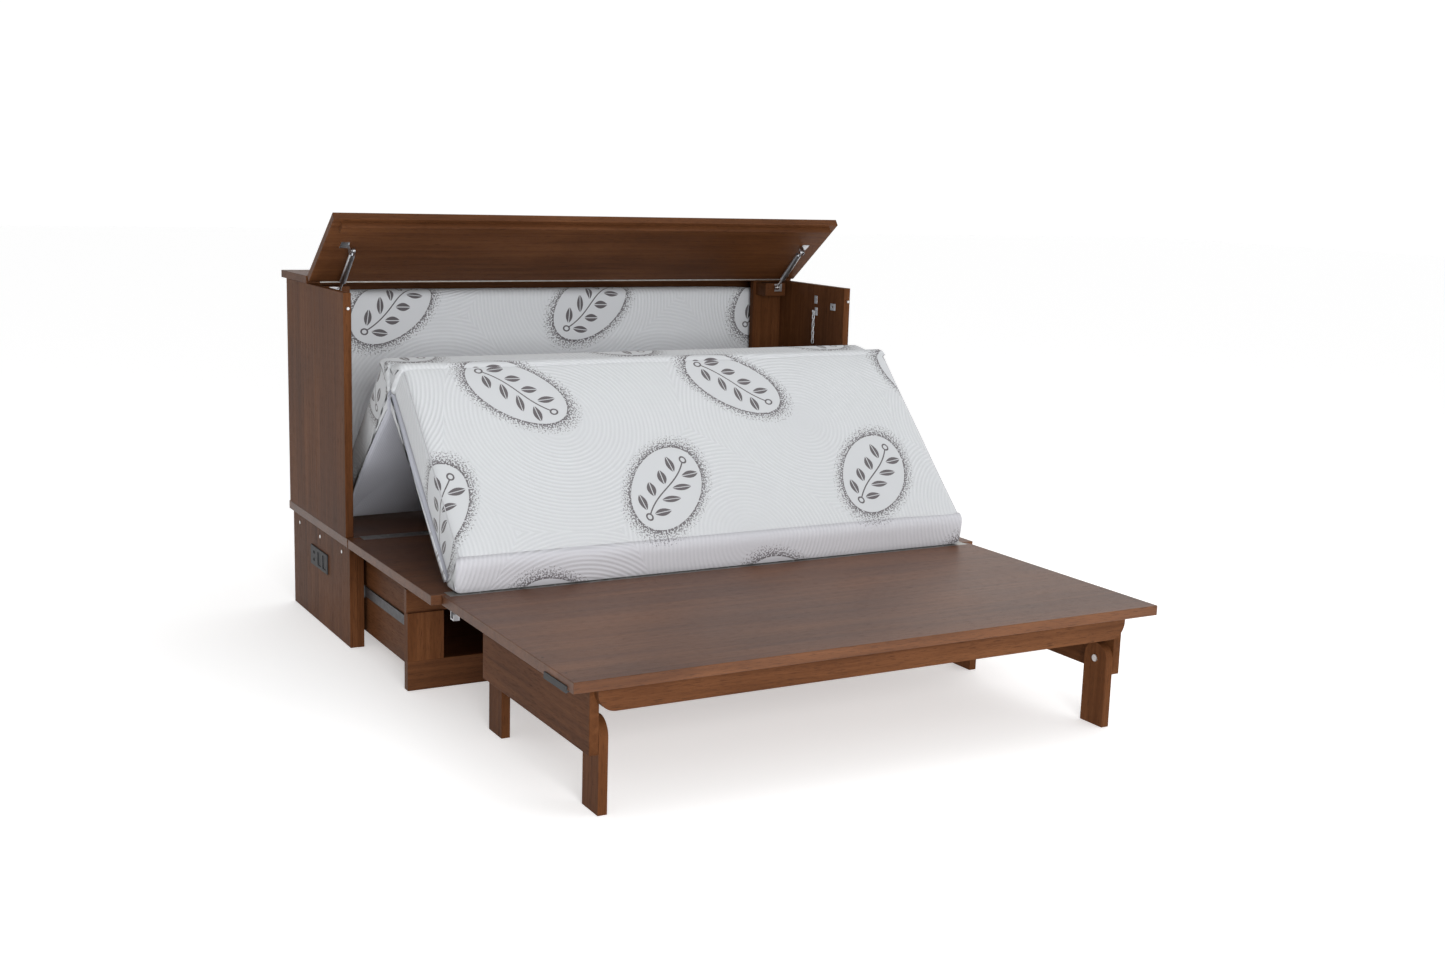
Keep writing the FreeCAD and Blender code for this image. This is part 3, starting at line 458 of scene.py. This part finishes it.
def foam_pad(name, origin, run, rise, length, thickness, half_width, bulge, cover):
    """A foam slab in its stretched cover. run points along it, rise through its thickness."""
    columns = round(2 * half_width / PAD_CELL)
    rows = round(length / PAD_CELL)
    layers = PAD_LAYERS
    shell = bmesh.new()
    seen = {}

    def corner(i, j, k):
        if (i, j, k) not in seen:
            seen[i, j, k] = shell.verts.new((i, j, k))
        return seen[i, j, k]

    def quad(*places):
        return shell.faces.new([corner(*place) for place in places])

    lower = []
    for i in range(columns):
        for j in range(rows):
            quad((i, j, layers), (i + 1, j, layers), (i + 1, j + 1, layers), (i, j + 1, layers))
            lower.append(quad((i, j, 0), (i, j + 1, 0), (i + 1, j + 1, 0), (i + 1, j, 0)))
    for k in range(layers):
        for i in range(columns):
            quad((i, 0, k), (i + 1, 0, k), (i + 1, 0, k + 1), (i, 0, k + 1))
            quad((i + 1, rows, k), (i, rows, k), (i, rows, k + 1), (i + 1, rows, k + 1))
        for j in range(rows):
            quad((0, j + 1, k), (0, j, k), (0, j, k + 1), (0, j + 1, k + 1))
            quad((columns, j, k), (columns, j + 1, k), (columns, j + 1, k + 1), (columns, j, k + 1))
    # the cover's own coordinates run over the top and down every side without a break
    cloth_map = shell.loops.layers.uv.new("cloth")
    for face in shell.faces:
        middle = face.calc_center_median()
        for loop in face.loops:
            i, j, k = loop.vert.co
            x = (i / columns * 2 - 1) * half_width
            s = j / rows * length
            drop = (1 - k / layers) * thickness
            if middle.z > layers - 0.1 or middle.z < 0.1:
                loop[cloth_map].uv = (x, s)
            elif middle.y < 0.1:
                loop[cloth_map].uv = (x, s - drop)
            elif middle.y > rows - 0.1:
                loop[cloth_map].uv = (x, s + drop)
            else:
                loop[cloth_map].uv = (x - drop if middle.x < 1 else x + drop, s)
    for face in lower:
        face.material_index = 1
    # place the lattice on a slab whose edges are rounded and whose faces crown a little
    for vert in shell.verts:
        i, j, k = vert.co
        a = i / columns * 2 - 1
        b = j / rows * 2 - 1
        c = k / layers * 2 - 1
        x, s, t = a * half_width, b * length / 2, c * thickness / 2
        reach = [half_width - PAD_EDGE, length / 2 - PAD_EDGE, thickness / 2 - PAD_EDGE]
        core = Vector([max(-r, min(r, w)) for r, w in zip(reach, (x, s, t))])
        off = Vector((x, s, t)) - core
        if off.length > 1e-9:
            off = off * (PAD_EDGE / off.length)
        x, s, t = core + off
        pull = (1 - a * a) * (1 - b * b)
        t += CROWN * 0.5 * pull * (1 if c > 0 else -0.25)
        ends = 1 - c * c
        if b < -0.98:
            s -= bulge[0] * ends * (1 - abs(a) ** 8)
        if b > 0.98:
            s += bulge[1] * ends * (1 - abs(a) ** 8)
        drift = noise.noise(Vector((x * 3.1, s * 4.3, t * 5 + len(name))))
        t += DRIFT * drift * (1 if c > 0 else 0.3)
        vert.co = origin + Vector((x, 0, 0)) + run * (s + length / 2) + rise * (t + thickness / 2)
    bmesh.ops.recalc_face_normals(shell, faces=shell.faces)
    pad_mesh = bpy.data.meshes.new(name)
    shell.to_mesh(pad_mesh)
    shell.free()
    pad = bpy.data.objects.new(name, pad_mesh)
    into_scene(pad)
    pad_mesh.materials.append(cover)
    pad_mesh.materials.append(underside_cloth)
    return pad


def worked_mesh(piece):
    """The piece's mesh with its modifiers worked into it."""
    graph = bpy.context.evaluated_depsgraph_get()
    return bpy.data.meshes.new_from_object(piece.evaluated_get(graph), depsgraph=graph)


def settle(pad, cap, keep_clear):
    """The cover is drawn tight over the foam in a short cloth run; no point moves further than cap."""
    start = [v.co.copy() for v in pad.data.vertices]
    cloth = pad.modifiers.new("cover_tension", "CLOTH")
    cloth.settings.use_pressure = True
    cloth.settings.uniform_pressure_force = CLOTH_PRESSURE
    cloth.settings.effector_weights.gravity = 0.0
    cloth.settings.tension_stiffness = CLOTH_STIFFNESS
    cloth.settings.compression_stiffness = CLOTH_STIFFNESS
    cloth.settings.bending_stiffness = CLOTH_BENDING
    cloth.settings.quality = CLOTH_STEPS
    cloth.point_cache.frame_start = 1
    cloth.point_cache.frame_end = CLOTH_FRAMES
    for step in range(1, CLOTH_FRAMES + 1):
        bpy.context.scene.frame_set(step)
    moved = [v.co.copy() for v in worked_mesh(pad).vertices]
    pad.modifiers.clear()
    bpy.context.scene.frame_set(1)
    for vert, was, now in zip(pad.data.vertices, start, moved):
        shift = now - was
        if shift.length > cap:
            shift = shift * (cap / shift.length)
        vert.co = was + shift
    for vert in pad.data.vertices:
        vert.co = keep_clear(vert.co)
    smooth = pad.modifiers.new("finer", "SUBSURF")
    smooth.levels = 1
    smooth.render_levels = 1
    pad.data.polygons.foreach_set("use_smooth", [True] * len(pad.data.polygons))
    finished = worked_mesh(pad)
    pad.modifiers.clear()
    pad.data = finished


def finish_pad(pad, node_name, body):
    """Hides the solid the pad stands for and hangs the pad on the body that carries it."""
    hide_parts(node_name)
    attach(pad, body)


def joint_place(name):
    return Vector(next(joint for joint in frame["joints"] if joint["name"] == name)["pos_m"])


heel = joint_place("mattress_middle_fold")
apex = joint_place("mattress_foot_fold")
fold_length = (apex - heel).length
pad_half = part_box("mattress_middle")[1].x
pad_thick = 0.110
platform_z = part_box("foot_platform")[1].z
slope = math.atan2(apex.z - heel.z, heel.y - apex.y)
cover_foot = knit_cover("knit_cover_foot", (-0.470, 0.107), (-0.140, 0.452))
cover_middle = knit_cover("knit_cover_middle", (-0.740, 0.560), (-0.410, 0.217))
# the toe's cover is a slightly darker, mauve copy of the foot cover: painted shade on the toe's end face,
# which faces forward and down
cover_toe_painted_shade = knit_cover("knit_cover_toe_painted_shade", (-0.470, 0.107), (-0.140, 0.452), (0.95, 0.925, 0.955))
# the head pad's cover is the same knit made about a fifth brighter: painted light against the shade inside
# the cabinet
cover_head_painted_light = knit_cover("knit_cover_head_painted_light", (-0.544, 0.606), (-0.214, 0.263), (1.22, 1.22, 1.23))


def above_platform(point):
    return Vector((point.x, point.y, max(point.z, platform_z + CLEARANCE)))


# ---- Middle pad: rises from the head platform to the ridge of the tent ----
# Its heel end bulges a little where it stands on the board.
climb = Vector((0, -math.cos(slope), math.sin(slope)))
climb_out = Vector((0, math.sin(slope), math.cos(slope)))
middle_pad = foam_pad("mattress_middle_pad", heel, climb, climb_out, fold_length - PAD_GAP,
                      pad_thick, pad_half, (0.006, 0.0), cover_middle)
settle(middle_pad, 0.008, lambda p: above_platform(Vector((p.x, max(p.y, apex.y + CLEARANCE), p.z))))
finish_pad(middle_pad, "mattress_middle", "mattress_middle")

# ---- Foot pad: comes down from the ridge, its toe on the platforms by the foot hinge ----
# It is cut square; the wedges below fill it out where it's pressed to a slant.
fall = Vector((0, -math.cos(slope), -math.sin(slope)))
fall_out = Vector((0, -math.sin(slope), math.cos(slope)))
foot_pad = foam_pad("mattress_foot_pad", apex, fall, fall_out, fold_length - PAD_GAP,
                    pad_thick, pad_half, (0.0, 0.0), cover_foot)
settle(foot_pad, 0.008, lambda p: above_platform(Vector((p.x, min(p.y, apex.y - CLEARANCE), p.z))))
finish_pad(foot_pad, "mattress_foot", "mattress_foot")

# ---- Foam wedges: the ridge's two ends, the toe on the board, the bellies inside the tent ----
# The foam is pressed to a mitre where the pads meet and flattens on the board.
WEDGE_EDGE = 0.013
WEDGE_CUT = 0.014
WEDGE_CELL = 0.022
END_SECTION = [(-0.022, 0.0012), (0.0, 0.0010), (0.020, 0.0200), (0.0405, 0.0412), (0.0425, 0.0470),
               (0.0365, 0.0600), (0.0225, 0.0800), (0.0080, 0.0985), (-0.004, 0.1078), (-0.022, 0.1092)]
BELLY_SECTION = [(-0.006, 0.0040), (-0.020, -0.0150), (-0.0395, -0.0385), (-0.052, -0.0390),
                 (-0.130, -0.0300), (-0.260, -0.0180), (-0.400, -0.0090), (-0.560, -0.0010),
                 (-0.600, 0.0015), (-0.600, 0.0040)]


def foam_wedge(name, base, along, rise, section, s_end, s_sign, cover, flank):
    """A closed section carried across the bed, with rounded ends. along and rise span the section."""
    ring = []
    outer_index = 0
    for n, point in enumerate(section):
        outer_index = len(ring)
        following = section[(n + 1) % len(section)]
        span = Vector(following) - Vector(point)
        cuts = max(1, round(span.length / WEDGE_CUT))
        ring.extend(Vector(point) + span * k / cuts for k in range(cuts))
    middle = sum(ring, Vector((0, 0))) / len(ring)
    turns = [math.radians(angle) for angle in (0, 30, 60, 90)]
    rounded = [(-pad_half + WEDGE_EDGE * (1 - math.cos(a)), WEDGE_EDGE * (1 - math.sin(a))) for a in turns]
    flat_width = 2 * (pad_half - WEDGE_EDGE)
    inner = round(flat_width / WEDGE_CELL)
    straight = [(-pad_half + WEDGE_EDGE + flat_width * k / inner, 0.0) for k in range(1, inner)]
    stations = rounded + straight + [(-x, inset) for x, inset in reversed(rounded)]
    shell = bmesh.new()
    cloth_map = shell.loops.layers.uv.new("cloth")
    rings, laid = [], {}
    run_length = [0.0]
    for n in range(1, len(ring)):
        run_length.append(run_length[-1] + (ring[n] - ring[n - 1]).length)
    for x, inset in stations:
        row = []
        for n, point in enumerate(ring):
            ahead_point, behind_point = ring[(n + 1) % len(ring)], ring[n - 1]
            tangent = (ahead_point - behind_point).normalized()
            inward = Vector((-tangent.y, tangent.x))
            if inward.dot(middle - point) < 0:
                inward = -inward
            moved = point + inward * inset
            vert = shell.verts.new(base + Vector((x, 0, 0)) + along * moved.x + rise * moved.y)
            past_end = section[-1][0] + run_length[outer_index] - run_length[n]
            laid[vert] = (x, s_end + s_sign * past_end)
            row.append(vert)
        rings.append(row)
    for first, second in zip(rings, rings[1:]):
        for n in range(len(ring)):
            m = (n + 1) % len(ring)
            shell.faces.new([first[n], first[m], second[m], second[n]])
    for row, side in ((rings[0], -1), (rings[-1], 1)):
        hub = shell.verts.new(sum((v.co for v in row), Vector()) / len(row))
        laid[hub] = (side * (pad_half + 0.05), s_end)
        for n in range(len(row)):
            shell.faces.new([row[n], row[(n + 1) % len(row)], hub]).material_index = 1
    for face in shell.faces:
        for loop in face.loops:
            loop[cloth_map].uv = laid[loop.vert]
    for vert in shell.verts:
        vert.co = above_platform(vert.co)
    bmesh.ops.recalc_face_normals(shell, faces=shell.faces)
    wedge_mesh = bpy.data.meshes.new(name)
    shell.to_mesh(wedge_mesh)
    shell.free()
    wedge_mesh.materials.append(cover)
    wedge_mesh.materials.append(flank)
    wedge_mesh.polygons.foreach_set("use_smooth", [True] * len(wedge_mesh.polygons))
    wedge = bpy.data.objects.new(name, wedge_mesh)
    into_scene(wedge)
    return wedge


ridge_gap = Vector((0, CLEARANCE, 0))
wedges = [
    ("mattress_foot_toe_wedge", apex + fall * fold_length, fall, fall_out, END_SECTION,
     fold_length, 1, cover_toe_painted_shade, cover_foot, "mattress_foot", fall),
    ("mattress_foot_ridge_wedge", apex - ridge_gap, -fall, fall_out, END_SECTION,
     0.0, -1, cover_foot, cover_foot, "mattress_foot", fall),
    ("mattress_middle_ridge_wedge", apex + ridge_gap, climb, climb_out, END_SECTION,
     fold_length, 1, cover_middle, cover_middle, "mattress_middle", climb),
    ("mattress_foot_belly", apex - ridge_gap, -fall, fall_out, BELLY_SECTION,
     0.0, -1, underside_cloth, cover_foot, "mattress_foot", fall_out),
    ("mattress_middle_belly", apex + ridge_gap, climb, climb_out, BELLY_SECTION,
     fold_length, 1, underside_cloth, cover_middle, "mattress_middle", climb_out),
]
for name, base, along, rise, section, s_end, s_sign, cover, flank, body, shrink in wedges:
    wedge = foam_wedge(name, base, along, rise, section, s_end, s_sign, cover, flank)
    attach(wedge, body)
    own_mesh(wedge)

# ---- Head pad: stands in the cabinet and leans on the back panel ----
# It is the third slab of the folding mattress and stays upright until the other two lie flat.
HEAD_LEAN = 2.6
HEAD_LENGTH = 0.650
PANEL_CLEARANCE = 0.0006
head_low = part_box("mattress_head")[0]
lean = math.radians(HEAD_LEAN)
head_run = Vector((0, math.sin(lean), math.cos(lean)))
head_rise = Vector((0, -math.cos(lean), math.sin(lean)))
head_heel = Vector((0, head_low.y, head_low.z)) - head_rise * pad_thick
# the head pad wears the brighter copy of the cover, painted light for its place in the cabinet's shade
head_pad = foam_pad("mattress_head_pad", head_heel, head_run, head_rise, HEAD_LENGTH,
                    pad_thick, pad_half, (0.0, 0.008), cover_head_painted_light)
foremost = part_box("rear_stiles")[1].y + PANEL_CLEARANCE
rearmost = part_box("cabinet_back_panel")[0].y - PANEL_CLEARANCE
settle(head_pad, 0.006, lambda p: above_platform(Vector((p.x, min(max(p.y, foremost), rearmost), p.z))))
finish_pad(head_pad, "mattress_head", "cabinet")

# ---- Seams: a corded seam along each pad's long edges, bound with short turns of thread ----
# The cord lies on the edge where face and side panel meet, and each stitch is a ring around it.
SEAM_END = 0.012
SEAM_STEP = 0.02
SEAM_LIFT = 0.0003
seam_thread = Finish("seam_thread")
thread_place = seam_thread.node("ShaderNodeTexCoord", None, None, "Object")
thread_twist = seam_thread.node("ShaderNodeTexNoise", None, {
    "Vector": thread_place, "Scale": 700.0, "Detail": 2.0})
seam_thread.feed(
    Base_Color=seam_thread.mix((0.36, 0.36, 0.38, 1), (0.56, 0.56, 0.58, 1), thread_twist),
    Roughness=0.8,
    Normal=seam_thread.bump(thread_twist, 0.3, 0.0003))
seam_tree = bpy.data.node_groups.new("sewn_seam", "GeometryNodeTree")
seam_tree.interface.new_socket("Geometry", in_out="INPUT", socket_type="NodeSocketGeometry")
seam_sizes = {"Stitch Pitch": 0.0095, "Stitch Width": 0.0007, "Cord Radius": 0.0015}
for label in seam_sizes:
    seam_tree.interface.new_socket(label, in_out="INPUT", socket_type="NodeSocketFloat")
seam_tree.interface.new_socket("Thread", in_out="INPUT", socket_type="NodeSocketMaterial")
seam_tree.interface.new_socket("Geometry", in_out="OUTPUT", socket_type="NodeSocketGeometry")


def seam_node(kind, settings=None, links=None):
    made = seam_tree.nodes.new(kind)
    for key, value in (settings or {}).items():
        setattr(made, key, value)
    for key, value in (links or {}).items():
        if isinstance(value, bpy.types.NodeSocket):
            seam_tree.links.new(value, made.inputs[key])
        else:
            made.inputs[key].default_value = value
    return made


given = seam_node("NodeGroupInput").outputs
seam_line = seam_node("GeometryNodeMeshToCurve", None, {0: given["Geometry"]}).outputs[0]
cord_section = seam_node("GeometryNodeCurvePrimitiveCircle", None, {
    "Resolution": 6, "Radius": given["Cord Radius"]}).outputs[0]
cord_mesh = seam_node("GeometryNodeCurveToMesh", None, {
    "Curve": seam_line, "Profile Curve": cord_section, "Fill Caps": True})
stitch_places = seam_node("GeometryNodeCurveToPoints", {"mode": "LENGTH"}, {
    "Curve": seam_line, "Length": given["Stitch Pitch"]})
stitch_radius = seam_node("ShaderNodeMath", {"operation": "MULTIPLY"}, {0: given["Cord Radius"], 1: 1.35})
stitch_mesh = seam_node("GeometryNodeMeshCylinder", None, {
    "Vertices": 6, "Radius": stitch_radius.outputs[0], "Depth": given["Stitch Width"]})
stitches = seam_node("GeometryNodeInstanceOnPoints", None, {
    "Points": stitch_places.outputs["Points"], "Instance": stitch_mesh.outputs["Mesh"],
    "Rotation": stitch_places.outputs["Rotation"]})
joined = seam_node("GeometryNodeJoinGeometry")
seam_tree.links.new(stitches.outputs[0], joined.inputs[0])
seam_tree.links.new(cord_mesh.outputs[0], joined.inputs[0])
real = seam_node("GeometryNodeRealizeInstances", None, {0: joined.outputs[0]})
threaded = seam_node("GeometryNodeSetMaterial", None, {
    "Geometry": real.outputs[0], "Material": given["Thread"]})
seam_node("NodeGroupOutput", None, {0: threaded.outputs[0]})


def sewn_seam(name, pad, origin, run, rise, length, body):
    """Lays four seam lines on the pad's long edges and sews them."""
    seam_mesh = bpy.data.meshes.new(name + "_line")
    points, edges = [], []
    for side in (-1, 1):
        for height in (pad_thick, 0.0):
            first = len(points)
            steps = round(length / SEAM_STEP)
            for n in range(steps + 1):
                down = SEAM_END + (length - 2 * SEAM_END) * n / steps
                wanted = origin + Vector((side * pad_half, 0, 0)) + run * down + rise * height
                _, spot, normal, _ = pad.closest_point_on_mesh(wanted)
                points.append(spot + normal * SEAM_LIFT)
            edges.extend((first + n, first + n + 1) for n in range(steps))
    seam_mesh.from_pydata(points, edges, [])
    seam = bpy.data.objects.new(name, seam_mesh)
    into_scene(seam)
    sewing = seam.modifiers.new("sewing", "NODES")
    sewing.node_group = seam_tree
    for item in seam_tree.interface.items_tree:
        if item.in_out == "INPUT" and item.name in seam_sizes:
            sewing[item.identifier] = seam_sizes[item.name]
        if item.in_out == "INPUT" and item.name == "Thread":
            sewing[item.identifier] = seam_thread.material
    bpy.context.view_layer.update()
    sewn = worked_mesh(seam)
    seam.modifiers.clear()
    seam.data = sewn
    sewn.polygons.foreach_set("use_smooth", [True] * len(sewn.polygons))
    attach(seam, body)


bpy.context.view_layer.update()
sewn_seam("seam_foot_pad", foot_pad, apex, fall, fall_out, fold_length, "mattress_foot")
sewn_seam("seam_middle_pad", middle_pad, heel, climb, climb_out, fold_length, "mattress_middle")
sewn_seam("seam_head_pad", head_pad, head_heel, head_run, head_rise, HEAD_LENGTH, "cabinet")
